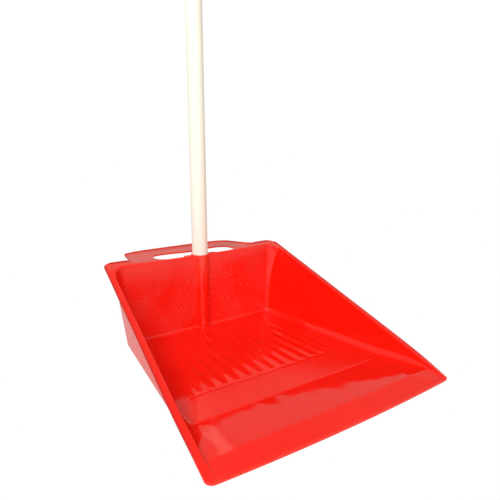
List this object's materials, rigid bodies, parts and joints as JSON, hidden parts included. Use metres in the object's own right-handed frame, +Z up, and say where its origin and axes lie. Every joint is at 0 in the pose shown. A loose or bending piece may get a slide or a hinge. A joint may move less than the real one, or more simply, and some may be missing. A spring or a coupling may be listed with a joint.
{
  "type": "long-handled dust pan",
  "caption": "Deep moulded dust pan with flared side walls, ribbed floor, rear hand grip and a straight pole that pushes into a socket on the rear wall.",
  "frame": {"origin": "on the ground under the middle of the part's overall box: midway between the side rims, and midway between the lip and the rear edge of the hand grip", "axes": "+Z up along the pole; -Y out of the pan's mouth, so the lip is at -Y and the hand grip and pole at +Y; +X to the right seen from the mouth looking toward +Y; the part is mirror-symmetric about the YZ plane"},
  "size_m": [0.316, 0.3892, 0.8364],
  "materials": {
    "pan": "glossy moulded polypropylene, bright red",
    "pole_sleeve": "smooth cream plastic sleeve with a soft gloss",
    "pole_tube": "bare thin-walled steel tube, hidden inside the sleeve",
    "pole_foot_plug": "satin moulded plastic, red",
    "hanger_cap": "satin moulded plastic, red"
  },
  "bodies": {
    "pan": {"pan": "pan"},
    "pole": {"pole_sleeve": "pole_sleeve", "pole_tube": "pole_tube", "pole_foot_plug": "pole_foot_plug", "hanger_cap": "hanger_cap"}
  },
  "joints": [
    {"name": "pole_lift", "type": "slide", "parent": "pan", "child": "pole", "axis": [0, 0, 1], "range_m": [0, 0.12]}
  ]
}
